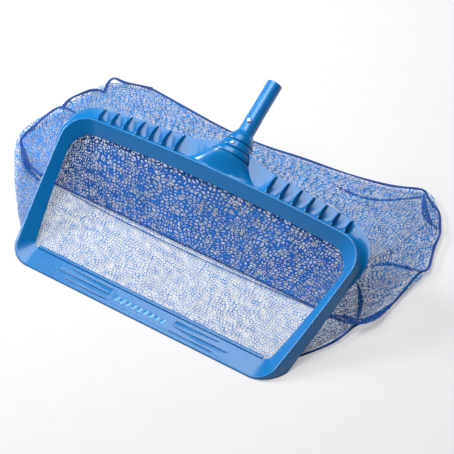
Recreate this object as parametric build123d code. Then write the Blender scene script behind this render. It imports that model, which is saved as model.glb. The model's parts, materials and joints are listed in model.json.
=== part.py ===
from build123d import *
import os
from math import atan2, cos, radians, sin, tan

# Leaf skimmer net (deep-bag leaf rake) for a pool pole, in millimetres, +Z up.
# The frame is drawn flat: X across, Y up the frame, Z out of the opening.  It is
# then leaned back so that the lip blade lies on the floor, with the bag behind.

# ---- stance ------------------------------------------------------------------
LEAN = 25.0                 # frame plane above the floor, degrees
LIP_THICK = 3.0             # blade thickness, and so the lift of the whole frame
LIP_WIDTH = 39.0            # lip blade, measured up the frame plane

# ---- moulded frame: the ridge line that the eye follows -----------------------
RIDGE_TOP_HALF = 284.0
RIDGE_BOTTOM_HALF = 240.5
RIDGE_RISE = 266.0
TOP_ARCH = 10.5
SIDE_BOW = 2.5
RIDGE_TOP_RADIUS = 44.0
RIDGE_BOTTOM_RADIUS = 38.0
RIDGE_ROUND = 2.2
FRAME_DEPTH = 19.5
OUTER_SIDE_RUN = 13.4       # how far the outer wall spreads at the foot of a side
OUTER_TOP_RUN = 8.0         # and at the top bar
INNER_SIDE_RUN = 16.5       # how far the inner wall runs in at the sides
INNER_TOP_RUN = 20.5        # and under the top bar
INNER_TOP_RADIUS = 38.0
INNER_BOTTOM_RADIUS = 12.0
WALL = 2.6
RIDGE_SOLID = 5.0           # solid plastic under the ridge before the channel opens

# ---- stiffening flange and its gusset ribs --------------------------------------
FLANGE_THICK = 2.5
FLANGE_DROP = 76.0          # the flange grows out of the side walls this far below the ridge
FLANGE_REACH = 13.0         # how far it stands out at the top corners
FLANGE_LIFT = 21.0          # and above the ridge
FLANGE_ARCH = 28.0
FLANGE_RADIUS = 60.0
RIB_COUNT = 7               # on each side of the collar
RIB_FIRST = 88.0
RIB_EDGE = 49.0             # last rib to the ridge's top corner
RIB_THICK = 2.2
RIB_BULGE = 2.5
RIB_SETBACK = 0.5
WEB_HALF = 92.0             # flange web that climbs to the collar
WEB_RISE = 22.0

# ---- tube, socket and stepped collar --------------------------------------------
TUBE_RADIUS = 14.0
TUBE_WALL = 2.0
SPIGOT_STEP = 0.5           # the outer stretch is drawn down by this, for a pole to slide over
SPIGOT_START = 124.0        # along the tube from the ridge line
TUBE_START = 27.0
TUBE_END = 192.0
AXIS_BACK = 22.0            # tube axis behind the ridge plane
AXIS_TILT = 3.3             # tube leans back from the frame plane, degrees
SOCKET_GAP = 0.1
BELL_TOP = 40.0
# (along the tube, half width across, half depth) of the bell below its round top
BELL_SECTIONS = [(-8.0, 96.0, 16.0), (8.0, 82.0, 20.0), (17.0, 64.0, 25.0), (28.0, 49.0, 33.0)]
BELL_RIM = 1.0              # bell's round top outside the collar's foot
BELL_SHELL = 3.0
SOCKET_WALL = 3.0
COLLAR_WALL = 3.5
COLLAR_GAP = 0.3
# (start along the tube, end, how far outside the tube at the start, and at the end)
COLLAR_STEPS = [(BELL_TOP, 53.5, 24.0, 20.0), (53.5, 68.5, 17.5, 13.5),
                (68.5, 84.0, 12.5, 7.0), (84.0, 92.5, 5.5, 1.3)]
GROOVE_WIDTH = 2.2
GROOVE_DEPTH = 3.2

# ---- snap buttons and their spring ------------------------------------------------
BUTTON_ALONG = 111.5        # along the tube
BUTTON_RADIUS = 3.2
BUTTON_PROUD = 4.5
BUTTON_CROWN = 1.4
BUTTON_HOLE_CLEAR = 1.2
BUTTON_HOLE_SHIFT = 0.6     # a pressed button swings a little outwards
BUTTON_FLANGE_LAP = 0.8     # flange beyond the edge of the hole, which keeps the button in
BUTTON_FLANGE_THICK = 1.2
SPRING_LENGTH = 58.0        # button axis to the hinge end of a leg
SPRING_THICK = 0.8
SPRING_WIDTH = 8.0
SPRING_BEND_RADIUS = 3.0
SPRING_GAP = 0.15
LEG_CLEAR = 0.3             # button flange to the tube's bore

# ---- collar screws -----------------------------------------------------------------
COLLAR_SCREW_ALONG = 61.0
COLLAR_SCREW_SHANK = 1.75
COLLAR_SCREW_HEAD = 3.4

# ---- retainer strips, their screws and the hem cord -------------------------------
RETAINER_THICK = 3.0
RETAINER_RECESS = 0.3       # sunk below the frame's back edge
RETAINER_SIDE_GAP = 0.3
RETAINER_GAP = 3.0          # between neighbouring strips
RETAINER_DROP = 61.0        # the side strips end this far below the ridge
RETAINER_FOOT = 54.0
HEM_SLOT = 1.6              # the net leaves the channel here
CORD_RADIUS = 2.2
CORD_POINTS = 120           # places along the channel that the cord's line goes through
SLEEVE_THICK = 0.5
SLEEVE_GAP = 0.5
RETAINER_SCREW_HEAD = 2.2
RETAINER_SCREW_SHANK = 1.3
RETAINER_SCREW_HEAD_THICK = 1.4
SCREW_OUTSET = 1.2          # screw line outside the ridge line
SCREW_TIP = 8.2             # screw tips stop this far below the ridge
SCREW_GAP = 0.05
SIDE_SCREWS = 3
SIDE_SCREW_INSET = 18.0     # first and last screw to the ends of a side strip
TOP_SCREWS = 4
TOP_SCREW_FIRST = 35.0
TOP_SCREW_EDGE = 69.0       # last screw to the ridge's top corner

# ---- lip: hem rail, grooves and raised mark ----------------------------------------
RAIL_THICK = 2.4
RAIL_HEIGHT = 5.2           # above the floor
CLAMP_THICK = 2.4
CLAMP_INSET = 26.5          # ends of the clamp and rail to the ridge's foot corner
CLAMP_RIVETS = 8
CLAMP_RIVET_EDGE = 14.0
CLAMP_RIVET_SHANK = 0.8
CLAMP_RIVET_HEAD = 1.4
CLAMP_RIVET_HEAD_THICK = 0.7
HEM_STRIP_THICK = 0.8
GROOVE_START = 61.0
# (back from the lip's front edge, length) of the three grooves on each side
LIP_GROOVES = [(10.5, 77.0), (22.0, 100.0), (33.0, 77.0)]
LIP_GROOVE_HALF = 0.9
LIP_GROOVE_DEEP = 0.9
MARK_BARS = 9
MARK_PITCH = 11.0
MARK_BAR_LENGTH = 12.0
MARK_BAR_WIDTH = 4.2
MARK_BAR_HIGH = 0.7
MARK_SLANT = 20.0
MARK_BACK = 20.0
MARK_ROOT = 0.5             # how deep the bars are rooted in the blade

# ---- the bag -------------------------------------------------------------------------
PANEL_THICK = 1.5
PANEL_GAP = 0.4             # clear space between neighbouring soft solids
FLOOR_GAP = 0.2
SEAM_BACK = 168.0           # cross seam, back from the lip's front edge
BAG_FOOT_INSET = 22.5       # floor panel inside the ridge's foot, just behind the lip
BAG_SEAM_SPREAD = 9.5       # and outside it at the cross seam
HEM_DROP = 3.0              # the panels hang this far behind the frame's back face
HEM_STEP = 14.0             # top panel starts this far above the reinforced one
TOP_TAIL_SPREAD = 21.0      # the bag's reach outside the ridge's top corners
TOP_TAIL_RUN = 184.0        # the tail of the top panel behind the top bar
GUSSET_FOOT = 62.0
GUSSET_DROP = 30.0          # its head below the ridge
GUSSET_SPREAD = 68.0
GUSSET_RUN = 22.0           # its corner behind the cross seam
TAPE_WIDTH = 9.0
TAPE_THICK = 1.2
# The bag's edge on the floor, from the front on the right round to the left: how far outside the
# ridge's top corner, and how far behind the cross seam.
TAIL_RIGHT = [(22, 8), (54, 102), (56, 202), (25, 282), (-22, 310)]
TAIL_LEFT = [(-224, 266), (-29, 277), (34, 264), (78, 197), (101, 94), (82, 26)]

# ---- values that follow from those above ---------------------------------------------
SPIGOT_RADIUS = TUBE_RADIUS - SPIGOT_STEP
COLLAR_TIERS = [(start, end, TUBE_RADIUS + foot, TUBE_RADIUS + head)
                for start, end, foot, head in COLLAR_STEPS]
BELL_SEAT = COLLAR_TIERS[0][2] + BELL_RIM
BUTTON_HOLE_RADIUS = BUTTON_RADIUS + BUTTON_HOLE_CLEAR
BUTTON_FLANGE_RADIUS = BUTTON_HOLE_RADIUS + BUTTON_FLANGE_LAP
FLANGE_FOOT = RIDGE_RISE - FLANGE_DROP
FLANGE_TOP_HALF = RIDGE_TOP_HALF + FLANGE_REACH
FLANGE_RISE = RIDGE_RISE + FLANGE_LIFT
RIB_PITCH = (RIDGE_TOP_HALF - RIB_EDGE - RIB_FIRST) / (RIB_COUNT - 1)
RETAINER_SPLIT = RIDGE_RISE - RETAINER_DROP
CLAMP_HALF = RIDGE_BOTTOM_HALF - CLAMP_INSET
BAG_FOOT_HALF = RIDGE_BOTTOM_HALF - BAG_FOOT_INSET
BAG_SEAM_HALF = RIDGE_BOTTOM_HALF + BAG_SEAM_SPREAD
LIP_DEPTH = LIP_WIDTH * tan(radians(LEAN))
LIP_RUN = LIP_WIDTH / cos(radians(LEAN))      # the blade's width on the floor
ORIGIN_BACK = LIP_RUN / 2                     # origin: middle of the lip's underside
CHANNEL_FOOT = FRAME_DEPTH + 1                # the channel's cut runs past the back face
RETAINER_BACK = FRAME_DEPTH - RETAINER_RECESS
PANEL_TOP = FLOOR_GAP + PANEL_THICK
FAR = 600.0                                   # longer than anything that is cut


def lean(shape):
    """Carry a piece from the flat frame drawing to its place above the floor."""
    return Pos(0, -ORIGIN_BACK, LIP_THICK) * Rot(LEAN, 0, 0) * shape


def ground(shape):
    """Carry a piece drawn on the floor, Y = 0 at the lip's front edge."""
    return Pos(0, -ORIGIN_BACK, 0) * shape


def along_tube(shape):
    """Carry a piece drawn about +Z onto the tube axis; its +Y faces out of the opening."""
    return lean(tube_frame() * shape)


def tube_frame():
    return Pos(0, RIDGE_RISE, -AXIS_BACK) * Rot(-90 - AXIS_TILT, 0, 0) * Rot(0, 0, 180)


def outline(bottom_half, top_half, bottom, top, arch, bow, bottom_radius, top_radius):
    """A rounded, slightly bowed trapezoid, as a face on the plane Z = 0."""
    low_left = (-bottom_half, bottom)
    low_right = (bottom_half, bottom)
    high_left = (-top_half, top)
    high_right = (top_half, top)
    middle = (bottom_half + top_half) / 2 + bow
    half_way = (bottom + top) / 2
    edges = [
        Line(low_left, low_right),
        ThreePointArc(low_right, (middle, half_way), high_right),
        ThreePointArc(high_right, (0, top + arch), high_left),
        ThreePointArc(high_left, (-middle, half_way), low_left),
    ]
    face = Face(Wire(edges))
    corners = face.vertices().sort_by(Axis.Y)
    face = face.fillet_2d(bottom_radius, corners[:2])
    corners = [v for v in face.vertices() if abs(v.X) > top_half - 1 and abs(v.Y - top) < 1]
    return face.fillet_2d(top_radius, corners)


def shifted_ridge(side_run, top_run):
    """The ridge outline grown sideways at its foot and upwards at its top."""
    return outline(RIDGE_BOTTOM_HALF + side_run, RIDGE_TOP_HALF + top_run, 0, RIDGE_RISE + top_run,
                   TOP_ARCH, SIDE_BOW, RIDGE_BOTTOM_RADIUS, RIDGE_TOP_RADIUS)


def inner_outline(extra=0.0):
    """The opening's outline at the foot of the funnel, grown by a wall where wanted."""
    return outline(RIDGE_BOTTOM_HALF - INNER_SIDE_RUN + extra, RIDGE_TOP_HALF - INNER_SIDE_RUN + extra,
                   LIP_WIDTH - extra, RIDGE_RISE - INNER_TOP_RUN + extra, TOP_ARCH, SIDE_BOW,
                   INNER_BOTTOM_RADIUS + extra, INNER_TOP_RADIUS + extra)


def between(lower_face, lower, upper_face, upper):
    """A ruled solid between two outlines at two heights."""
    return Solid.make_loft([(Pos(0, 0, lower) * lower_face).outer_wire(),
                            (Pos(0, 0, upper) * upper_face).outer_wire()], True)


# ---------------------------------------------------------------- moulded frame
def ridge_at(across):
    """Height of the top ridge at a distance from the middle."""
    return RIDGE_RISE + TOP_ARCH * (1 - (across / RIDGE_TOP_HALF) ** 2)


def side_at(up):
    """Half width of the ridge line at a height up the frame."""
    share = up / RIDGE_RISE
    straight = RIDGE_BOTTOM_HALF + (RIDGE_TOP_HALF - RIDGE_BOTTOM_HALF) * share
    return straight + SIDE_BOW * 4 * share * (1 - share)


def flange_at(across):
    """Height of the flange's outer edge at a distance from the middle."""
    return FLANGE_RISE + FLANGE_ARCH * (1 - (across / FLANGE_TOP_HALF) ** 2)


def opening():
    """The funnel-shaped way through the frame: sloping down to the lip, then straight."""
    funnel = between(inner_outline(), -LIP_DEPTH, shifted_ridge(0, 0), 0)
    through = Pos(0, 0, -FAR) * extrude(inner_outline(), FAR - LIP_DEPTH)
    return funnel + through


def frame_shell():
    """The chevron section that runs up the sides and over the top."""
    skirt = shifted_ridge(OUTER_SIDE_RUN, OUTER_TOP_RUN)
    shell = between(skirt, -FRAME_DEPTH, shifted_ridge(0, 0), 0) - opening()
    crest = [e for e in shell.edges() if e.bounding_box().min.Z > -0.01]
    return fillet(crest, RIDGE_ROUND)


def channel():
    """The hollow behind the ridge that takes the hem, open at the back."""
    ridge = shifted_ridge(0, 0)
    skirt = shifted_ridge(OUTER_SIDE_RUN - WALL, OUTER_TOP_RUN - WALL)
    outer = between(skirt, -CHANNEL_FOOT, ridge, -RIDGE_SOLID)
    inner = between(inner_outline(WALL), -CHANNEL_FOOT, ridge, -RIDGE_SOLID)
    above_lip = Pos(0, FAR / 2 + LIP_WIDTH, 0) * Box(2 * FAR, FAR, FAR)
    return (outer - inner) & above_lip


def flange():
    """The flat flange outside the top bar, which climbs to the collar in the middle."""
    foot_half = side_at(FLANGE_FOOT) + OUTER_TOP_RUN
    plate = outline(foot_half, FLANGE_TOP_HALF, FLANGE_FOOT, FLANGE_RISE, FLANGE_ARCH,
                    SIDE_BOW, 1, FLANGE_RADIUS)
    peak = flange_at(0) + WEB_RISE
    side = flange_at(WEB_HALF)
    low = side - OUTER_TOP_RUN
    bend = (WEB_HALF / 2, side + WEB_RISE * 0.45)
    web = Face(Wire([
        Line((-WEB_HALF, low), (WEB_HALF, low)),
        Line((WEB_HALF, low), (WEB_HALF, side)),
        ThreePointArc((WEB_HALF, side), bend, (TUBE_RADIUS, peak)),
        Line((TUBE_RADIUS, peak), (-TUBE_RADIUS, peak)),
        ThreePointArc((-TUBE_RADIUS, peak), (-bend[0], bend[1]), (-WEB_HALF, side)),
        Line((-WEB_HALF, side), (-WEB_HALF, low)),
    ]))
    sheet = extrude(plate, FLANGE_THICK) + extrude(web, FLANGE_THICK)
    hole = extrude(shifted_ridge(OUTER_SIDE_RUN - WALL, OUTER_TOP_RUN - WALL), FLANGE_THICK)
    return Pos(0, 0, -FRAME_DEPTH) * (sheet - hole)


def rib(across):
    """One gusset rib: a fin from the ridge down to the flange's edge."""
    low = -FRAME_DEPTH + FLANGE_THICK / 2
    start = ridge_at(across)
    tip = flange_at(across) - RIB_SETBACK
    crest = (start + RIDGE_ROUND, -2 * RIDGE_ROUND)
    fin = Face(Wire([
        Line((start, low), (tip, low)),
        Line((tip, low), (tip, low + FLANGE_THICK)),
        ThreePointArc((tip, low + FLANGE_THICK), ((start + tip) / 2 + RIB_BULGE, low / 2 + RIB_BULGE), crest),
        Line(crest, (start, low)),
    ]))
    upright = Plane(origin=(across - RIB_THICK / 2, 0, 0), x_dir=(0, 1, 0), z_dir=(1, 0, 0))
    return extrude(upright * fin, RIB_THICK)


def bell_loft(shrink):
    """The bell's skin: from a wide flat oval in the bar to the collar's round seat."""
    faces = []
    for at, wide, deep in BELL_SECTIONS + [(BELL_TOP, BELL_SEAT, BELL_SEAT)]:
        faces.append(tube_frame() * Pos(0, 0, at) * Ellipse(wide - shrink, deep - shrink))
    return loft(faces)


def bell():
    """The bell that flares from the collar into the top bar, with the tube's socket."""
    floor_at = RIDGE_RISE + TUBE_START - WALL
    behind = Pos(0, 0, -FRAME_DEPTH - FAR / 2) * Box(2 * FAR, 2 * floor_at, FAR)
    roof = tube_frame() * Pos(0, 0, BELL_TOP - BELL_SHELL) * extrude(Circle(FAR), FAR)
    below = Pos(0, floor_at - FAR / 2, 0) * Box(2 * FAR, FAR, FAR)
    body = bell_loft(0) - behind - (bell_loft(BELL_SHELL) - roof - below)
    height = BELL_TOP - TUBE_START + WALL
    socket = tube_frame() * Pos(0, 0, TUBE_START - WALL) * extrude(Circle(TUBE_RADIUS + SOCKET_WALL), height)
    return body + socket


def lip_grooves():
    """The three long grooves pressed into each end of the lip."""
    cuts = []
    for side in (-1, 1):
        for back, length in LIP_GROOVES:
            slot = SlotCenterToCenter(length, 2 * LIP_GROOVE_HALF)
            middle = side * (GROOVE_START + length / 2)
            cuts.append(ground(Pos(middle, back, LIP_THICK - LIP_GROOVE_DEEP) * extrude(slot, WALL)))
    return cuts


def lip_mark():
    """A plain row of slanted raised bars in the middle of the lip."""
    bars = []
    first = -(MARK_BARS - 1) / 2 * MARK_PITCH
    for i in range(MARK_BARS):
        slot = Rot(0, 0, -MARK_SLANT) * SlotOverall(MARK_BAR_LENGTH, MARK_BAR_WIDTH, rotation=90)
        raised = extrude(slot, MARK_ROOT + MARK_BAR_HIGH)
        bars.append(ground(Pos(first + i * MARK_PITCH, MARK_BACK, LIP_THICK - MARK_ROOT) * raised))
    return bars


def lip_trim():
    """Squares the lip's back edge so that the front hem lies flat against it."""
    room = Box(2 * CLAMP_HALF + WALL, WALL, LIP_THICK, align=(Align.CENTER, Align.MIN, Align.MIN))
    return ground(Pos(0, LIP_RUN, 0) * room)


def hem_rail():
    """The upright rail along the back of the lip that the front hem is clamped to."""
    rail = Box(2 * CLAMP_HALF, RAIL_THICK, RAIL_HEIGHT, align=(Align.CENTER, Align.MAX, Align.MIN))
    return ground(Pos(0, LIP_RUN, 0) * rail)


def retainer_screw_places():
    """Where the retainer screws stand: distance across and up the frame."""
    side_step = (RETAINER_SPLIT - RETAINER_FOOT - 2 * SIDE_SCREW_INSET) / (SIDE_SCREWS - 1)
    top_step = (RIDGE_TOP_HALF - TOP_SCREW_EDGE - TOP_SCREW_FIRST) / (TOP_SCREWS - 1)
    places = []
    for side in (-1, 1):
        for i in range(SIDE_SCREWS):
            up = RETAINER_FOOT + SIDE_SCREW_INSET + i * side_step
            places.append((side * (side_at(up) + SCREW_OUTSET), up))
        for i in range(TOP_SCREWS):
            across = TOP_SCREW_FIRST + i * top_step
            places.append((side * across, ridge_at(across) + SCREW_OUTSET))
    return places


def shank(across, up, radius):
    """A straight screw shank behind the ridge."""
    return lean(Pos(across, up, -RETAINER_BACK) * extrude(Circle(radius), RETAINER_BACK - SCREW_TIP))


def front_frame():
    top = flange() + bell()
    for side in (-1, 1):
        for i in range(RIB_COUNT):
            top += rib(side * (RIB_FIRST + i * RIB_PITCH))
    body = lean(frame_shell() + (top - opening()) - channel())
    body -= collar_envelope(COLLAR_GAP)
    body -= along_tube(Pos(0, 0, TUBE_START) * extrude(Circle(TUBE_RADIUS + SOCKET_GAP), FAR))
    body -= Pos(0, 0, -FAR / 2) * Box(4 * FAR, 4 * FAR, FAR)
    body -= lip_trim()
    body += hem_rail()
    for cut in lip_grooves():
        body -= cut
    for bar in lip_mark():
        body += bar
    for across, up in retainer_screw_places():
        body -= shank(across, up, RETAINER_SCREW_SHANK + SCREW_GAP)
    for x in clamp_rivet_places():
        body -= clamp_rivet_shank(x, CLAMP_RIVET_SHANK + SCREW_GAP)
    return body


# ---------------------------------------------------------------- collar and tube
def collar_envelope(gap):
    """The collar's outer shape above the bell, grown by a gap."""
    points = [(0, BELL_TOP)]
    for start, end, radius_start, radius_end in COLLAR_TIERS:
        points += [(radius_start + gap, start), (radius_end + gap, end)]
    points.append((0, COLLAR_TIERS[-1][1]))
    profile = Plane.XZ * make_face(Polyline(*points, close=True))
    return along_tube(revolve(profile, Axis.Z, 360))


def stepped_collar():
    """Three stacked tiers with a thin groove under each, cored out to an even wall."""
    body = collar_envelope(0)
    body -= along_tube(extrude(Circle(TUBE_RADIUS + SOCKET_GAP), FAR))
    for start, end, radius_start, radius_end in COLLAR_TIERS[:3]:
        ring = Circle(radius_start + FAR / 2) - Circle(radius_start - GROOVE_DEPTH)
        body -= along_tube(Pos(0, 0, start) * extrude(ring, GROOVE_WIDTH))
    for start, end, radius_start, radius_end in COLLAR_TIERS[:2]:
        core = Circle(radius_end - COLLAR_WALL) - Circle(TUBE_RADIUS + SOCKET_WALL)
        body -= along_tube(Pos(0, 0, start) * extrude(core, end - start - COLLAR_WALL / 2))
    for turn in (0, 180):
        body -= collar_screw_shank(turn, COLLAR_SCREW_SHANK + SCREW_GAP)
    return body


def handle_tube():
    """The tube: seated in the socket, with a slightly slimmer outer stretch for the pole."""
    seated = Circle(TUBE_RADIUS) - Circle(TUBE_RADIUS - TUBE_WALL)
    slim = Circle(SPIGOT_RADIUS) - Circle(TUBE_RADIUS - TUBE_WALL)
    body = Pos(0, 0, TUBE_START) * extrude(seated, SPIGOT_START - TUBE_START)
    body += Pos(0, 0, SPIGOT_START) * extrude(slim, TUBE_END - SPIGOT_START)
    hole = Pos(0, FAR / 2, BUTTON_ALONG + BUTTON_HOLE_SHIFT) * Rot(90, 0, 0)
    body -= hole * extrude(Circle(BUTTON_HOLE_RADIUS), FAR)
    body = along_tube(body)
    for turn in (0, 180):
        body -= collar_screw_shank(turn, COLLAR_SCREW_SHANK + SCREW_GAP)
    return body


def collar_screw_seat():
    """Radius of the collar's face where its screws stand."""
    start, end, radius_start, radius_end = COLLAR_TIERS[1]
    share = (COLLAR_SCREW_ALONG - start) / (end - start)
    return radius_start + (radius_end - radius_start) * share


def collar_screw_shank(turn, radius):
    reach = collar_screw_seat()
    stub = Pos(0, TUBE_RADIUS - TUBE_WALL, COLLAR_SCREW_ALONG) * Rot(-90, 0, 0)
    return along_tube(Rot(0, 0, turn) * stub * extrude(Circle(radius), reach - TUBE_RADIUS + TUBE_WALL))


def collar_screws():
    """Two domed screws, front and rear, that pin the collar to the tube."""
    seat = collar_screw_seat()
    screws = []
    for turn in (0, 180):
        cap = Sphere(COLLAR_SCREW_HEAD) & Pos(0, 0, FAR / 2) * Box(FAR, FAR, FAR)
        cap = scale(cap, (1, 1, 0.55))
        rise = Pos(0, seat, COLLAR_SCREW_ALONG) * Rot(-90, 0, 0)
        head = along_tube(Rot(0, 0, turn) * rise * cap)
        screws.append(head - collar_envelope(0) + collar_screw_shank(turn, COLLAR_SCREW_SHANK))
    return screws


# ---------------------------------------------------------------- snap spring and buttons
def button_seat():
    """Height of the button flange's outer face above the tube's axis."""
    bore = TUBE_RADIUS - TUBE_WALL
    return (bore ** 2 - BUTTON_FLANGE_RADIUS ** 2) ** 0.5 - LEG_CLEAR


def snap_button(turn):
    """One round-topped button with the flange that keeps it in the tube."""
    seat = button_seat()
    pin = Pos(0, 0, seat) * Cylinder(BUTTON_RADIUS, TUBE_RADIUS + BUTTON_PROUD - seat,
                                     align=(Align.CENTER, Align.CENTER, Align.MIN))
    pin = fillet(pin.edges().sort_by(Axis.Z)[-1], BUTTON_CROWN)
    pin += Pos(0, 0, seat) * Cylinder(BUTTON_FLANGE_RADIUS, BUTTON_FLANGE_THICK,
                                      align=(Align.CENTER, Align.CENTER, Align.MAX))
    return along_tube(Rot(0, 0, turn) * Pos(0, 0, BUTTON_ALONG) * Rot(-90, 0, 0) * pin)


def spring_leg(turn):
    """One straight leg of the spring, from the bend to under its button."""
    root = BUTTON_ALONG - SPRING_LENGTH + SPRING_GAP
    end = BUTTON_ALONG + BUTTON_FLANGE_RADIUS
    low = SPRING_BEND_RADIUS
    high = button_seat() - BUTTON_FLANGE_THICK - SPRING_THICK
    flat = BUTTON_ALONG - BUTTON_FLANGE_RADIUS
    side = make_face(Polyline((low, root), (high, flat), (high, end), (high + SPRING_THICK, end),
                              (high + SPRING_THICK, flat), (low + SPRING_THICK, root), close=True))
    upright = Plane(origin=(-SPRING_WIDTH / 2, 0, 0), x_dir=(0, 1, 0), z_dir=(1, 0, 0))
    return along_tube(Rot(0, 0, turn) * extrude(upright * side, SPRING_WIDTH))


def spring_bend():
    """The round bend that joins the two legs."""
    ring = Circle(SPRING_BEND_RADIUS + SPRING_THICK) - Circle(SPRING_BEND_RADIUS)
    half = ring & Pos(0, -FAR / 2) * Rectangle(FAR, FAR)
    root = (-SPRING_WIDTH / 2, 0, BUTTON_ALONG - SPRING_LENGTH)
    upright = Plane(origin=root, x_dir=(0, 1, 0), z_dir=(1, 0, 0))
    return along_tube(extrude(upright * half, SPRING_WIDTH))


# ---------------------------------------------------------------- retainers, cord and clamp
def channel_share(depth):
    """How far the channel has opened at a depth behind the ridge, from 0 to 1."""
    return (depth - RIDGE_SOLID) / (CHANNEL_FOOT - RIDGE_SOLID)


def retainer_ring():
    """The flat band that closes the channel, before it is cut into strips."""
    share = channel_share(RETAINER_BACK - RETAINER_THICK)
    reach_out = (OUTER_TOP_RUN - WALL) * share - RETAINER_SIDE_GAP
    reach_in = (INNER_SIDE_RUN - WALL) * share - HEM_SLOT
    band = shifted_ridge(reach_out, reach_out) - shifted_ridge(-reach_in, -reach_in)
    return Pos(0, 0, -RETAINER_BACK) * extrude(band, RETAINER_THICK)


def retainer(side, upper):
    """One strip of the retainer, with its screw holes."""
    room = Box(FAR, FAR, FAR, align=(Align.MIN, Align.MIN, Align.CENTER))
    if upper:
        room = Pos(RETAINER_GAP / 2, RETAINER_SPLIT + RETAINER_GAP / 2, 0) * room
    else:
        height = RETAINER_SPLIT - RETAINER_GAP - RETAINER_FOOT
        room = Pos(0, RETAINER_FOOT, 0) * Box(FAR, height, FAR, align=(Align.MIN, Align.MIN, Align.CENTER))
    if side < 0:
        room = mirror(room, Plane.YZ)
    strip = lean(retainer_ring() & room)
    for across, up in retainer_screw_places():
        strip -= shank(across, up, RETAINER_SCREW_SHANK + SCREW_GAP)
    return strip


def retainer_screws():
    screws = []
    for across, up in retainer_screw_places():
        head = Pos(across, up, -RETAINER_BACK) * Cylinder(RETAINER_SCREW_HEAD, RETAINER_SCREW_HEAD_THICK,
                                                         align=(Align.CENTER, Align.CENTER, Align.MAX))
        screws.append(lean(head) + shank(across, up, RETAINER_SCREW_SHANK))
    return screws


def cord_loop(inner, outer):
    """A round section run along the channel, from one foot of the frame to the other."""
    depth = RETAINER_BACK - RETAINER_THICK - CORD_RADIUS - SLEEVE_THICK - SLEEVE_GAP
    inset = -(CORD_RADIUS + SLEEVE_THICK + RETAINER_SCREW_SHANK - SCREW_OUTSET + SLEEVE_GAP)
    edge = (Pos(0, 0, -depth) * shifted_ridge(inset, inset)).outer_wire()
    places = [edge @ (i / CORD_POINTS) for i in range(CORD_POINTS)]
    places = [place for place in places if place.Y > RETAINER_FOOT / 2]
    path = Spline(sorted(places, key=lambda place: atan2(place.X, place.Y)))
    section = Circle(outer) - Circle(inner) if inner else Circle(outer)
    loop = sweep(Plane(origin=path @ 0, z_dir=path % 0) * section, path)
    above = Pos(0, RETAINER_FOOT, 0) * Box(4 * FAR, FAR, FAR, align=(Align.CENTER, Align.MIN, Align.CENTER))
    return lean(loop & above)


def front_clamp():
    """The bar that clamps the front hem against the rail."""
    bar = Box(2 * CLAMP_HALF, CLAMP_THICK, RAIL_HEIGHT - PANEL_TOP - PANEL_GAP,
              align=(Align.CENTER, Align.MIN, Align.MIN))
    bar = ground(Pos(0, LIP_RUN + HEM_STRIP_THICK, PANEL_TOP + PANEL_GAP) * bar)
    for x in clamp_rivet_places():
        bar -= clamp_rivet_shank(x, CLAMP_RIVET_SHANK + SCREW_GAP)
    return bar


def clamp_rivet_places():
    step = 2 * (CLAMP_HALF - CLAMP_RIVET_EDGE) / (CLAMP_RIVETS - 1)
    return [-CLAMP_HALF + CLAMP_RIVET_EDGE + i * step for i in range(CLAMP_RIVETS)]


def clamp_rivet_shank(x, radius):
    length = RAIL_THICK + HEM_STRIP_THICK + CLAMP_THICK
    height = PANEL_TOP + PANEL_GAP + (RAIL_HEIGHT - PANEL_TOP - PANEL_GAP) / 2
    return ground(Pos(x, LIP_RUN - RAIL_THICK, height) * Rot(-90, 0, 0) * extrude(Circle(radius), length))


def clamp_rivets():
    rivets = []
    height = PANEL_TOP + PANEL_GAP + (RAIL_HEIGHT - PANEL_TOP - PANEL_GAP) / 2
    for x in clamp_rivet_places():
        head = extrude(Circle(CLAMP_RIVET_HEAD), CLAMP_RIVET_HEAD_THICK)
        back = Pos(x, LIP_RUN + HEM_STRIP_THICK + CLAMP_THICK, height) * Rot(-90, 0, 0) * head
        rivets.append(ground(back) + clamp_rivet_shank(x, CLAMP_RIVET_SHANK))
    return rivets


def front_hem():
    """The folded front hem between the rail and the clamp."""
    strip = Box(2 * CLAMP_HALF, HEM_STRIP_THICK, RAIL_HEIGHT - PANEL_TOP - PANEL_GAP,
                align=(Align.CENTER, Align.MIN, Align.MIN))
    strip = ground(Pos(0, LIP_RUN, PANEL_TOP + PANEL_GAP) * strip)
    for x in clamp_rivet_places():
        strip -= clamp_rivet_shank(x, CLAMP_RIVET_SHANK + SCREW_GAP)
    return strip


# ---------------------------------------------------------------- the bag
def floor_slab(points, low=FLOOR_GAP, thick=PANEL_THICK):
    """A flat panel on the floor: (across, back from the lip's front edge)."""
    return ground(Pos(0, 0, low) * extrude(make_face(Polyline(*points, close=True)), thick))


def sloping_slab(points):
    """A flat panel through three or more points in space, thickened downwards."""
    face = Face(Wire.make_polygon([Vector(*p) for p in points], close=True))
    normal = face.normal_at()
    if normal.Z > 0:
        normal = -normal
    return ground(extrude(face, PANEL_THICK, dir=normal))


def under_frame(up, drop=HEM_DROP):
    """A point just behind the frame's back face: (back from the lip, height)."""
    depth = FRAME_DEPTH + drop
    back = up * cos(radians(LEAN)) + depth * sin(radians(LEAN))
    return back, up * sin(radians(LEAN)) - depth * cos(radians(LEAN)) + LIP_THICK


def floor_panel():
    front = LIP_RUN + PANEL_GAP
    back = SEAM_BACK - PANEL_GAP
    return floor_slab([(-BAG_FOOT_HALF, front), (BAG_FOOT_HALF, front), (BAG_SEAM_HALF, back),
                       (-BAG_SEAM_HALF, back)])


def tail_edge(side, places):
    """The bag's edge on one side, as (across, back from the lip's front edge)."""
    return [(side * (RIDGE_TOP_HALF + out), SEAM_BACK + back) for out, back in places]


def tail_panel():
    front = SEAM_BACK + PANEL_GAP
    return floor_slab([(-BAG_SEAM_HALF, front), (BAG_SEAM_HALF, front)]
                      + tail_edge(1, TAIL_RIGHT) + tail_edge(-1, TAIL_LEFT))


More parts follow.
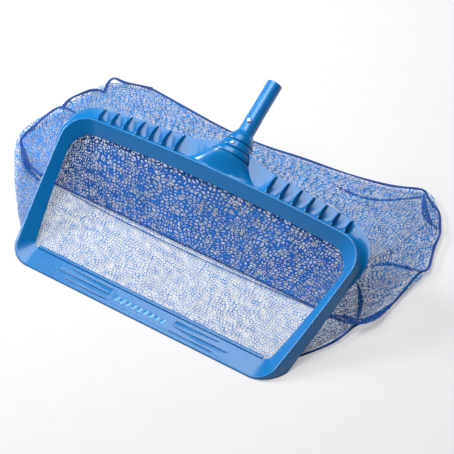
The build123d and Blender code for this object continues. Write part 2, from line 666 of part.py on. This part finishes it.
def reinforced_panel():
    back, height = under_frame(RIDGE_RISE - INNER_TOP_RUN)
    foot = SEAM_BACK + TAPE_WIDTH + PANEL_GAP
    half = side_at(RIDGE_RISE) - INNER_SIDE_RUN - WALL
    low = PANEL_TOP + PANEL_THICK + PANEL_GAP
    return sloping_slab([(-BAG_SEAM_HALF, foot, low), (BAG_SEAM_HALF, foot, low),
                         (half, back, height), (-half, back, height)])


def top_panel():
    back, height = under_frame(RIDGE_RISE - INNER_TOP_RUN + HEM_STEP)
    half = side_at(RIDGE_RISE)
    low = PANEL_TOP + PANEL_THICK + PANEL_GAP
    return sloping_slab([(-half, back, height), (half, back, height),
                         (half + TOP_TAIL_SPREAD, back + TOP_TAIL_RUN, low),
                         (-half - TOP_TAIL_SPREAD, back + TOP_TAIL_RUN, low)])


def gusset(side):
    """One side of the bag, from the side bar down to the floor."""
    foot_back, foot_height = under_frame(GUSSET_FOOT)
    head = RIDGE_RISE - GUSSET_DROP
    head_back, head_height = under_frame(head)
    low = PANEL_TOP + PANEL_THICK + PANEL_GAP
    return sloping_slab([(side * side_at(GUSSET_FOOT), foot_back, foot_height),
                         (side * side_at(head), head_back, head_height),
                         (side * (RIDGE_TOP_HALF + GUSSET_SPREAD), SEAM_BACK + GUSSET_RUN, low)])


def cross_seam_tape():
    """The bound seam where the open floor panel meets the reinforced one."""
    low = PANEL_TOP + PANEL_GAP / 2
    return floor_slab([(-BAG_SEAM_HALF, SEAM_BACK), (BAG_SEAM_HALF, SEAM_BACK),
                       (BAG_SEAM_HALF, SEAM_BACK + TAPE_WIDTH), (-BAG_SEAM_HALF, SEAM_BACK + TAPE_WIDTH)],
                      low, TAPE_THICK)


def edge_tape(points):
    """A binding tape stitched along the edge of the bag, on top of the tail panel."""
    low = PANEL_TOP + PANEL_GAP / 2
    return ground(Pos(0, 0, low) * extrude(trace(Polyline(*points), TAPE_WIDTH), TAPE_THICK))


# ---------------------------------------------------------------- write the pieces
def pieces():
    named = {
        "front_frame": front_frame(),
        "stepped_collar": stepped_collar(),
        "handle_tube": handle_tube(),
        "collar_screws": collar_screws(),
        "spring_bend": spring_bend(),
        "spring_leg_front": spring_leg(0),
        "spring_leg_rear": spring_leg(180),
        "snap_button_front": snap_button(0),
        "snap_button_rear": snap_button(180),
        "retainer_left": retainer(-1, False),
        "retainer_right": retainer(1, False),
        "retainer_top_left": retainer(-1, True),
        "retainer_top_right": retainer(1, True),
        "retainer_screws": retainer_screws(),
        "hem_cord": cord_loop(0, CORD_RADIUS),
        "hem_sleeve": cord_loop(CORD_RADIUS, CORD_RADIUS + SLEEVE_THICK),
        "front_hem": front_hem(),
        "front_clamp": front_clamp(),
        "clamp_rivets": clamp_rivets(),
        "bag_floor_panel": floor_panel(),
        "bag_tail_panel": tail_panel(),
        "bag_reinforced_panel": reinforced_panel(),
        "bag_top_panel": top_panel(),
        "bag_left_gusset": gusset(-1),
        "bag_right_gusset": gusset(1),
        "cross_seam_tape": cross_seam_tape(),
        "left_seam_tape": edge_tape(tail_edge(-1, TAIL_LEFT[::-1])),
        "right_seam_tape": edge_tape(tail_edge(1, TAIL_RIGHT)),
    }
    return named


os.makedirs("parts", exist_ok=True)
for name, shape in pieces().items():
    if isinstance(shape, list):
        shape = Compound(children=shape)
    export_step(shape, f"parts/{name}.step")
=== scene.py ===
import bpy
import bmesh
import json
from math import cos, pi, radians, sin
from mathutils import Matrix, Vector, noise

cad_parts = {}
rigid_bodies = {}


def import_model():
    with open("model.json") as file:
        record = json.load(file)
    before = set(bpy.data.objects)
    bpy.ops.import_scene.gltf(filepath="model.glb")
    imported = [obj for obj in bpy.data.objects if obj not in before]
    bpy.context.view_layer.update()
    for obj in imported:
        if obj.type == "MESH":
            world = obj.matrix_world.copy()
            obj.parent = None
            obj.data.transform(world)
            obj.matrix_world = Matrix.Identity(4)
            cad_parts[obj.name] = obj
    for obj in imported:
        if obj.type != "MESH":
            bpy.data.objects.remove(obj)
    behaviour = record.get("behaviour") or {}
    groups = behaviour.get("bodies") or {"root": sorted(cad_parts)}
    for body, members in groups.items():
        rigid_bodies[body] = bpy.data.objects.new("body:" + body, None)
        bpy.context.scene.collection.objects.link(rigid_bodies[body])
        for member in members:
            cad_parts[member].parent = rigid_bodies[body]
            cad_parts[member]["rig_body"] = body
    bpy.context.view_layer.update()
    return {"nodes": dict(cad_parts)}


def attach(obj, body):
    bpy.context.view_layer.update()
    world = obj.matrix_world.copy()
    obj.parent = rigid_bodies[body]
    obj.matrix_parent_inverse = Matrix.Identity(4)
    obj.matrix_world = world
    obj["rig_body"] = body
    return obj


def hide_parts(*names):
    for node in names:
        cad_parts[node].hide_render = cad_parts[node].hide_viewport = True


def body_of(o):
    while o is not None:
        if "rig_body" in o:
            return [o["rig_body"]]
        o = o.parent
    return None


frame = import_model()

# The leaf skimmer net lies on its lip and its bag on a plain white studio floor, under one large
# soft panel overhead and a smaller key light on the left. The camera is high at the front right.
stage = bpy.context.scene
stage.view_settings.view_transform = "Standard"

camera_place = (1.0217, -1.3738, 2.1198)
camera_elevation = 48.35
camera_azimuth = 32.04
camera = bpy.data.objects.new("camera", bpy.data.cameras.new("camera"))
camera.data.lens = 135.7
camera.data.sensor_width = 36
camera.location = camera_place
camera.rotation_euler = (radians(90 - camera_elevation), 0, radians(camera_azimuth))
stage.collection.objects.link(camera)
stage.camera = camera


def soft_light(name, place, aim, width, length, power):
    """A softbox that faces the point it is aimed at."""
    light = bpy.data.objects.new(name, bpy.data.lights.new(name, "AREA"))
    light.data.shape = "RECTANGLE"
    light.data.size = width
    light.data.size_y = length
    light.data.energy = power
    light.location = place
    light.rotation_euler = (Vector(aim) - Vector(place)).to_track_quat("-Z", "Y").to_euler()
    stage.collection.objects.link(light)


soft_light("overhead_panel", (-0.42, 0.55, 1.9), (-0.42, 0.5501, 0), 1.35, 2.1, 54)
soft_light("left_key", (-2.3, -0.1, 1.5), (0, 0.15, 0), 0.8, 0.8, 66)

surround = bpy.data.worlds.new("surround")
surround.use_nodes = True
surround.node_tree.nodes["Background"].inputs["Color"].default_value = (1, 1, 1, 1)
surround.node_tree.nodes["Background"].inputs["Strength"].default_value = 0.06
stage.world = surround


# The frame is one injection moulding in blue polypropylene: glossy, with a faint orange-peel
# skin, slow changes of tone where the plastic flowed, fine scuffs, painted shade in the grooves of
# the lip, and a painted highlight on the raised bars in its middle.
class Amount:
    """A number that changes over a surface. Sums written with it become Math nodes."""

    def __init__(self, finish, socket):
        self.finish = finish
        self.socket = socket

    def sum(self, operation, *others):
        return self.finish.node("ShaderNodeMath", {"operation": operation}, dict(enumerate(others)))

    def __add__(self, other):
        return self.sum("ADD", self, other)

    def __sub__(self, other):
        return self.sum("SUBTRACT", self, other)

    def __rsub__(self, other):
        return self.sum("SUBTRACT", other, self)

    def __mul__(self, other):
        return self.sum("MULTIPLY", self, other)

    def __gt__(self, other):
        return self.sum("GREATER_THAN", self, other)

    __radd__ = __add__
    __rmul__ = __mul__


class Finish:
    """One material: its shader, the settings that stay the same, and the nodes that feed it."""

    def __init__(self, name, **fixed):
        self.material = bpy.data.materials.new(name)
        self.material.use_nodes = True
        self.tree = self.material.node_tree
        self.shader = self.tree.nodes["Principled BSDF"]
        self.feed(**fixed)
        self.place = self.node("ShaderNodeTexCoord", output="Object")

    def feed(self, **values):
        for name, value in values.items():
            self.put(self.shader.inputs[name.replace("_", " ")], value)

    def put(self, socket, value):
        if isinstance(value, Amount):
            self.tree.links.new(value.socket, socket)
        else:
            socket.default_value = value

    def node(self, kind, settings=None, inputs=None, output=0):
        made = self.tree.nodes.new(kind)
        for name, value in (settings or {}).items():
            setattr(made, name, value)
        for name, value in (inputs or {}).items():
            self.put(made.inputs[name], value)
        return Amount(self, made.outputs[output])

    def noise(self, scale, detail=2.0, at=None):
        inputs = {"Vector": at or self.place, "Scale": scale, "Detail": detail}
        return self.node("ShaderNodeTexNoise", inputs=inputs)

    def blend(self, share, low, high):
        return self.node("ShaderNodeMix", {"data_type": "RGBA"}, {0: share, 6: low, 7: high}, 2)

    def band(self, value, start, end):
        """0 below the start, 1 above the end, and smooth between them."""
        settings = {"interpolation_type": "SMOOTHSTEP"}
        return self.node("ShaderNodeMapRange", settings, {"Value": value, 1: start, 2: end})

    def bump(self, height, distance, strength=1.0):
        inputs = {"Height": height, "Distance": distance, "Strength": strength}
        return self.node("ShaderNodeBump", inputs=inputs)


def shade(red, green, blue):
    """A colour as a paint chart gives it, made linear for the shader."""
    return tuple((part / 255) ** 2.2 for part in (red, green, blue)) + (1,)


def finished_copy(node, name, finish, crease=32):
    """A merged copy of a CAD piece, smooth except across its real corners, in place of it."""
    source = frame["nodes"][node]
    piece = bpy.data.objects.new(name, source.data.copy())
    stage.collection.objects.link(piece)
    skin = bmesh.new()
    skin.from_mesh(piece.data)
    bmesh.ops.remove_doubles(skin, verts=skin.verts, dist=1e-6)
    skin.to_mesh(piece.data)
    skin.free()
    piece.data.shade_smooth()
    piece.data.set_sharp_from_angle(angle=radians(crease))
    piece.modifiers.new("even_normals", "WEIGHTED_NORMAL").keep_sharp = True
    piece.data.materials.clear()
    piece.data.materials.append(finish.material)
    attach(piece, body_of(source)[0])
    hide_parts(node)
    return piece


def moulded_plastic(name, colour, deep, gloss):
    finish = Finish(name, Coat_Weight=0.2, Coat_Roughness=0.12, Specular_IOR_Level=0.4)
    flow = finish.noise(9, 3)
    peel = finish.noise(900, 2)
    scuff = finish.band(finish.noise(160, 4), 0.62, 0.74)
    finish.feed(Base_Color=finish.blend(flow, deep, colour),
                Roughness=gloss + flow * 0.08 + scuff * 0.12,
                Normal=finish.bump(peel + scuff * 0.4, 0.00006))
    return finish, flow


frame_blue, flow = moulded_plastic("frame_blue", shade(6, 114, 178), shade(4, 98, 162), 0.26)
across, depth, height = [
    frame_blue.node("ShaderNodeSeparateXYZ", inputs={0: frame_blue.place}, output=axis) for axis in range(3)]
blade = (1 - frame_blue.band(depth, 0.012, 0.016)) * frame_blue.band(depth, -0.019, -0.018)
mark = frame_blue.band(across, -0.062, -0.060) * (1 - frame_blue.band(across, 0.060, 0.062))
# Painted shade: the lip's grooves, below the top face of the lip, are darkened to navy in the colour.
grime_and_groove_shade = blade * (1 - frame_blue.band(height, 0.0023, 0.0029))
# Painted highlight: the tops of the raised bars in the middle of the lip are made paler in the colour.
painted_bar_highlight = blade * mark * frame_blue.band(height, 0.0033, 0.0036)
plain = frame_blue.blend(flow, shade(4, 98, 162), shade(6, 114, 178))
with_bar_highlight = frame_blue.blend(painted_bar_highlight * 0.6, plain, shade(120, 186, 226))
frame_blue.feed(Base_Color=frame_blue.blend(grime_and_groove_shade * 0.8, with_bar_highlight, shade(8, 44, 98)))
finished_copy("front_frame", "moulded_frame", frame_blue)

# The collar is a separate moulding of the same plastic that slides over the bell in three
# steps, and the tube is coated aluminium that a telescopic pole slides over.
collar_blue, _ = moulded_plastic("collar_blue", shade(6, 112, 174), shade(4, 94, 158), 0.24)
finished_copy("stepped_collar", "stepped_collar_moulding", collar_blue)

tube_coat = Finish("tube_coat", Metallic=0.1, Coat_Weight=0.2, Coat_Roughness=0.1)
drawn = tube_coat.node("ShaderNodeMapping", inputs={"Vector": tube_coat.place, "Scale": (900, 40, 40)})
draw_lines = tube_coat.noise(1, 3, drawn)
tube_coat.feed(Base_Color=tube_coat.blend(draw_lines, shade(10, 102, 172), shade(20, 122, 192)),
               Roughness=0.24 + draw_lines * 0.1,
               Normal=tube_coat.bump(draw_lines, 0.00005))
finished_copy("handle_tube", "pole_tube", tube_coat)

# Small hardware: pan-head screws, blind rivets and the flat V spring are plated steel, and the
# two snap buttons are white nylon caps on the ends of the spring.
plated_steel = Finish("plated_steel", Metallic=1.0)
brushed = plated_steel.noise(700, 3)
plated_steel.feed(Base_Color=plated_steel.blend(brushed, shade(176, 180, 184), shade(220, 222, 224)),
                  Roughness=0.22 + brushed * 0.2,
                  Normal=plated_steel.bump(brushed, 0.00004))
white_nylon = Finish("white_nylon", Subsurface_Weight=0.1)
grime_and_groove_shade = white_nylon.noise(300, 3)
white_nylon.feed(Base_Color=white_nylon.blend(grime_and_groove_shade, shade(226, 232, 236), shade(250, 251, 252)),
                 Roughness=0.3 + grime_and_groove_shade * 0.15,
                 Normal=white_nylon.bump(grime_and_groove_shade, 0.00005))
for node in ("collar_screws", "retainer_screws", "clamp_rivets", "spring_bend", "spring_leg_front",
             "spring_leg_rear"):
    finished_copy(node, node + "_plated", plated_steel)
for node in ("snap_button_front", "snap_button_rear"):
    finished_copy(node, node + "_nylon", white_nylon)

# The retainer strips and the clamp that trap the net are flat mouldings of the same plastic,
# duller than the frame because they come from an unpolished tool.
strip_blue, _ = moulded_plastic("strip_blue", shade(10, 96, 160), shade(6, 78, 138), 0.42)
for node in ("retainer_left", "retainer_right", "retainer_top_left", "retainer_top_right",
             "front_clamp"):
    finished_copy(node, node + "_moulding", strip_blue)

# The bag is knitted polyester net in four pieces and two side gussets. Its strands are blue, its
# holes let the floor show, and the panel that rises from the cross seam is a closer knit.
lean = radians(25)
frame_back = 0.0215
lip_half_run = 0.0215
lip_thick = 0.003


def rim(across, up, behind=frame_back):
    """A point behind the frame, from its place across and up the frame's own face."""
    return Vector((across, up * cos(lean) + behind * sin(lean) - lip_half_run,
                   up * sin(lean) - behind * cos(lean) + lip_thick))


def smooth_between(anchors, share):
    """The point a share of the way along a smooth line through the anchors."""
    place = share * (len(anchors) - 1)
    i = min(int(place), len(anchors) - 2)
    t = place - i
    before, start, end = anchors[max(i - 1, 0)], anchors[i], anchors[i + 1]
    after = anchors[min(i + 2, len(anchors) - 1)]
    bend = 2 * before - 5 * start + 4 * end - after
    swing = 3 * (start - end) + after - before
    return start + 0.5 * (t * (end - before) + t * t * bend + t ** 3 * swing)


def net_finish(name, pitch, strand, light, dark, uneven=0.45):
    """Knitted net: strands round uneven cells of about the pitch, with open holes between."""
    finish = Finish(name, Specular_IOR_Level=0.3, Roughness=0.55)
    flat = finish.node("ShaderNodeUVMap", {"uv_map": "knit"})
    slow = finish.noise(14, 2, flat)
    pull = finish.node("ShaderNodeTexNoise", inputs={"Vector": flat, "Scale": 22, "Detail": 2}, output=1)
    drawn = finish.node("ShaderNodeVectorMath", {"operation": "SCALE"}, {0: pull, "Scale": pitch * 5})
    knit = finish.node("ShaderNodeVectorMath", {"operation": "ADD"}, {0: flat, 1: drawn})
    cells = {"feature": "DISTANCE_TO_EDGE", "voronoi_dimensions": "2D"}
    sizes = {"Vector": knit, "Scale": 1 / pitch, "Randomness": uneven}
    from_strand = finish.node("ShaderNodeTexVoronoi", cells, sizes)
    half = strand / pitch * (finish.noise(0.45 / pitch, 1, flat) * 1.6 - 0.3)
    finish.feed(Base_Color=finish.blend(slow, dark, light), Alpha=1 - (from_strand > half),
                Normal=finish.bump(1 - finish.band(from_strand, 0, strand / pitch / 2), strand / 3))
    return finish


floor_knit = net_finish("floor_knit", 0.0048, 0.00080, shade(32, 128, 200), shade(16, 92, 170), 0.6)
open_knit = net_finish("open_knit", 0.0054, 0.00135, shade(44, 140, 220), shade(20, 98, 188), 0.8)
close_knit = net_finish("close_knit", 0.0050, 0.00205, shade(26, 110, 198), shade(10, 76, 166), 0.8)
side_knit = net_finish("side_knit", 0.0054, 0.00170, shade(46, 140, 222), shade(22, 100, 192), 0.8)


def net_panel(name, near, far, columns, rows, hang, ruck, finish, flat, nodes, seed):
    """A panel of net between two sewn lines. Hang bends its run down, and ruck crumples it."""
    knit = bmesh.new()
    bmesh.ops.create_grid(knit, x_segments=columns, y_segments=rows, size=0.5)
    tags = knit.loops.layers.uv.new("knit")
    shares = {}
    for corner in knit.verts:
        shares[corner] = (corner.co.x + 0.5, corner.co.y + 0.5)
    for face in knit.faces:
        for loop in face.loops:
            across, run = shares[loop.vert]
            loop[tags].uv = (across * flat[0] + seed, run * flat[1])
    for corner, (across, run) in shares.items():
        start = smooth_between(near, across)
        end = smooth_between(far, across)
        place = start.lerp(end, run)
        fall = (1 - run) ** hang
        place.z = end.z + (start.z - end.z) * fall
        free = sin(pi * run) ** 0.7
        where = Vector((place.x * 9, place.y * 9, seed))
        fold = noise.noise(where) + 0.5 * noise.noise(where * 2.7) + 0.25 * noise.noise(where * 6.1)
        place.z += ruck * free * (fold + 0.35)
        place.z = max(place.z, min(start.z, end.z, 0.0015))
        corner.co = place
    bmesh.ops.recalc_face_normals(knit, faces=knit.faces)
    if sum(face.normal.z for face in knit.faces) < 0:
        bmesh.ops.reverse_faces(knit, faces=knit.faces)
    panel = bpy.data.objects.new(name, bpy.data.meshes.new(name))
    knit.to_mesh(panel.data)
    knit.free()
    stage.collection.objects.link(panel)
    panel.data.shade_smooth()
    panel.data.materials.append(finish.material)
    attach(panel, "skimmer")
    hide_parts(*nodes)
    return panel


def spots(*places):
    return [Vector(place) / 1000 for place in places]


def rims(*places):
    return [rim(across / 1000, up / 1000) for across, up in places]


seam_left = (-284, 150, 3)
seam_right = (262, 152, 3)
floor_net = net_panel(
    "floor_net",
    spots((-238, 23, 2.2), (0, 23, 2.2), (236, 23, 2.2)),
    spots(seam_left, (-100, 149, 3), (80, 149, 3), seam_right),
    90, 30, 1, 0.004, floor_knit, (0.5, 0.13), ["bag_floor_panel"], 0.3)
tail_net = net_panel(
    "tail_net",
    spots((-240, 26, 2), (-262, 90, 2), (-284, 150, 2), (-240, 150, 2), (-170, 149, 2), (-90, 149, 2),
          (0, 149, 2), (90, 149, 2), (180, 150, 2), (230, 151, 2), (262, 152, 2), (252, 90, 2), (238, 30, 2)),
    spots((-256, 32, 3), (-307, 86, 3), (-384, 208, 3), (-368, 310, 3), (-334, 396, 3), (-262, 424, 3),
          (-94, 407, 3), (46, 417, 3), (190, 434, 3), (270, 458, 3), (332, 370, 3), (300, 142, 3),
          (256, 52, 3)),
    150, 46, 1, 0.006, floor_knit, (0.6, 0.3), ["bag_tail_panel"], 1.7)
reinforced_net = net_panel(
    "reinforced_net",
    rims((-266, 200), (-256, 250), (-160, 260), (0, 264), (160, 260), (256, 250), (266, 200)),
    spots(seam_left, (-230, 151, 3), (-120, 150, 3), (0, 150, 3), (110, 150, 3), (200, 151, 3), seam_right),
    90, 34, 1.25, 0.006, close_knit, (0.52, 0.11), ["bag_reinforced_panel"], 4.1)
top_net = net_panel(
    "top_net",
    rims((-272, 238), (-248, 256), (-170, 264), (-60, 268), (60, 268), (170, 264), (248, 256), (272, 238)),
    spots((-352, 372, 5), (-330, 404, 7), (-250, 427, 5), (-94, 411, 5), (46, 421, 6), (180, 436, 6),
          (264, 466, 8), (309, 434, 8)),
    110, 46, 1.9, 0.012, open_knit, (0.6, 0.24), ["bag_top_panel"], 7.9)
left_net = net_panel(
    "left_gusset_net",
    rims((-238, 42), (-254, 90), (-262, 130), (-268, 165), (-272, 200), (-272, 238)),
    spots((-257, 30, 3), (-307, 84, 6), (-350, 136, 8), (-394, 208, 8), (-382, 290, 7), (-352, 372, 5)),
    70, 30, 2.6, 0.010, side_knit, (0.36, 0.13), ["bag_left_gusset"], 11.3)
right_net = net_panel(
    "right_gusset_net",
    rims((272, 238), (273, 205), (268, 165), (262, 125), (254, 85), (240, 42)),
    spots((309, 434, 8), (335, 362, 7), (350, 312, 7), (336, 232, 6), (305, 145, 6), (258, 50, 3)),
    70, 30, 1.8, 0.012, side_knit, (0.4, 0.13), ["bag_right_gusset"], 15.2)

# Dark woven binding tape is folded over every raw edge of the net and stitched. It puckers, so
# it turns on edge in places, and at the left corner of the tail it is tied in a knot.
binding = Finish("binding", Roughness=0.7, Specular_IOR_Level=0.25)
ribs = binding.node("ShaderNodeTexWave", {"bands_direction": "DIAGONAL"},
                    {"Vector": binding.place, "Scale": 260, "Distortion": 1.5})
worn = binding.noise(40, 3)
binding.feed(Base_Color=binding.blend(worn * 0.7 + ribs * 0.3, shade(12, 42, 104), shade(40, 84, 156)),
             Normal=binding.bump(ribs, 0.0002))


def tape(name, route, width, thick, nodes=(), finish=binding, taper=0.0):
    """A strip along a route, rounded at its edges, turned as it puckers, and narrower at its ends
    by the taper."""
    line = bpy.data.curves.new(name, "CURVE")
    line.dimensions = "3D"
    line.twist_mode = "Z_UP"
    line.extrude = (width - thick) / 2
    line.bevel_depth = thick / 2
    line.bevel_resolution = 2
    line.use_fill_caps = True
    spline = line.splines.new("NURBS")
    spline.points.add(len(route) - 1)
    for i, place in enumerate(route):
        spline.points[i].co = (*place, 1)
        spline.points[i].tilt = pi / 2 + 0.5 * sin(2.1 * i)
        ends = abs(2 * i / (len(route) - 1) - 1) ** 3
        spline.points[i].radius = 1 + 0.2 * sin(3.3 * i) - taper * ends
    spline.order_u = 3
    spline.use_endpoint_u = True
    line.resolution_u = 6
    strip = bpy.data.objects.new(name, line)
    stage.collection.objects.link(strip)
    line.materials.append(finish.material)
    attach(strip, "skimmer")
    if nodes:
        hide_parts(*nodes)
    return strip


tape("cross_seam_binding", spots(seam_left, (-150, 152, 5), (-20, 151, 5), (110, 151, 5), seam_right),
     0.003, 0.0014, ["cross_seam_tape"])
tape("cross_seam_stitching",
     spots((-240, 146, 3.2), (-150, 141, 3.6), (-20, 140, 3.6), (110, 142, 3.6), seam_right),
     0.0018, 0.0012)
tape("left_binding",
     spots((-287, 250, 75), (-321, 268, 55), (-348, 281, 38), (-368, 284, 25), (-380, 251, 14),
           (-386, 204, 9), (-376, 190, 10), (-359, 177, 14), (-337, 156, 20), (-313, 140, 29),
           (-282, 126, 42)),
     0.0055, 0.0016, ["left_seam_tape"])
tape("right_binding",
     spots((-263, 428, 6), (-199, 421, 6), (-95, 410, 6), (-12, 412, 7), (46, 421, 7), (130, 429, 7),
           (189, 438, 8), (225, 449, 8), (262, 467, 9), (274, 454, 10), (290, 442, 10), (309, 433, 9),
           (321, 408, 9), (332, 389, 9), (335, 362, 9), (341, 343, 9), (351, 312, 8), (340, 303, 8),
           (337, 257, 7), (335, 220, 7), (325, 182, 7), (305, 153, 7), (301, 128, 7), (292, 103, 6),
           (279, 80, 5), (258, 50, 4)),
     0.0045, 0.0016, ["right_seam_tape"])
tape("tail_corner_binding",
     spots((-362, 296, 20), (-368, 313, 13), (-369, 331, 10), (-362, 347, 9), (-352, 368, 8),
           (-337, 376, 8), (-328, 372, 8), (-334, 386, 9), (-337, 403, 11), (-332, 412, 12),
           (-312, 412, 9), (-295, 420, 8), (-263, 428, 7)),
     0.0055, 0.0018)

# Where the net has more cloth than the bag needs it doubles over in flat pleats, which thin out
# to nothing at both ends. They are denser because three layers of the knit lie together, and their
# colour is darker than the strands with painted shade of the folds.
pleat_knit_painted_shade = Finish("pleat_knit_painted_shade", Roughness=0.6, Specular_IOR_Level=0.25)
layers = pleat_knit_painted_shade.node("ShaderNodeTexVoronoi", {"feature": "DISTANCE_TO_EDGE"},
                         {"Vector": pleat_knit_painted_shade.place, "Scale": 260, "Randomness": 0.8})
gaps = pleat_knit_painted_shade.band(layers, 0.14, 0.2)
# Painted shade: the pleat colour is darker than the knit's own strands.
pleat_knit_painted_shade.feed(Base_Color=pleat_knit_painted_shade.blend(pleat_knit_painted_shade.noise(30), shade(16, 62, 136), shade(34, 96, 172)),
                Alpha=1 - gaps, Normal=pleat_knit_painted_shade.bump(gaps, 0.0004))
pleats = {
    "right_foot_pleat": (0.015, [(262, 130, 26), (289, 146, 17), (311, 155, 13), (327, 178, 12),
                                 (334, 213, 10)]),
    "right_side_pleat": (0.008, [(278, 251, 34), (289, 273, 26), (305, 284, 20), (323, 293, 15),
                                 (343, 301, 11)]),
    "right_corner_pleat": (0.009, [(274, 209, 34), (291, 194, 26), (300, 174, 18), (306, 155, 13)]),
    "right_end_pleat": (0.012, [(266, 457, 10), (282, 427, 12), (301, 401, 13), (324, 396, 12)]),
    "top_pleat": (0.006, [(126, 383, 26), (173, 378, 22), (212, 394, 18), (243, 422, 13), (270, 450, 10)]),
    "left_corner_pleat": (0.010, [(-372, 186, 11), (-356, 169, 13), (-335, 150, 16), (-312, 134, 22),
                                  (-287, 124, 30)]),
}
for name, (width, route) in pleats.items():
    tape(name, spots(*route), width, 0.0012, finish=pleat_knit_painted_shade, taper=0.75)

# The rim of the net is folded round a cord and sewn into a sleeve, which the retainers trap in
# the frame's channel. Along the lip it is a flat paler hem under the clamp. Both are plain weave.
hem_cloth = Finish("hem_cloth", Roughness=0.75)
hem_weave = hem_cloth.noise(1200, 2)
hem_cloth.feed(Base_Color=hem_cloth.blend(hem_weave, shade(30, 66, 132), shade(66, 108, 176)),
               Normal=hem_cloth.bump(hem_weave, 0.0002))
for node in ("hem_cord", "hem_sleeve"):
    finished_copy(node, node + "_cloth", hem_cloth)
light_hem = Finish("light_hem", Roughness=0.75)
light_weave = light_hem.noise(1200, 2)
light_hem.feed(Base_Color=light_hem.blend(light_weave, shade(16, 100, 170), shade(60, 140, 200)),
               Normal=light_hem.bump(light_weave, 0.0002))
finished_copy("front_hem", "front_hem_cloth", light_hem)

# The studio floor is one sheet of matt white board, 16 m square and half a millimetre below the
# lip, with a faint glow of its own so that it stays pale to its edges.
board = Finish("board", Roughness=0.8, Specular_IOR_Level=0.2,
               Emission_Color=(1, 1, 1, 1), Emission_Strength=0.36)
grain = board.noise(30, 3)
board.feed(Base_Color=board.blend(grain, shade(164, 165, 167), shade(170, 170, 171)))
ground = bmesh.new()
bmesh.ops.create_grid(ground, x_segments=2, y_segments=2, size=8)
bmesh.ops.translate(ground, verts=ground.verts, vec=(0, 0, -0.0005))
floor = bpy.data.objects.new("floor", bpy.data.meshes.new("floor"))
ground.to_mesh(floor.data)
ground.free()
floor.data.materials.append(board.material)
stage.collection.objects.link(floor)
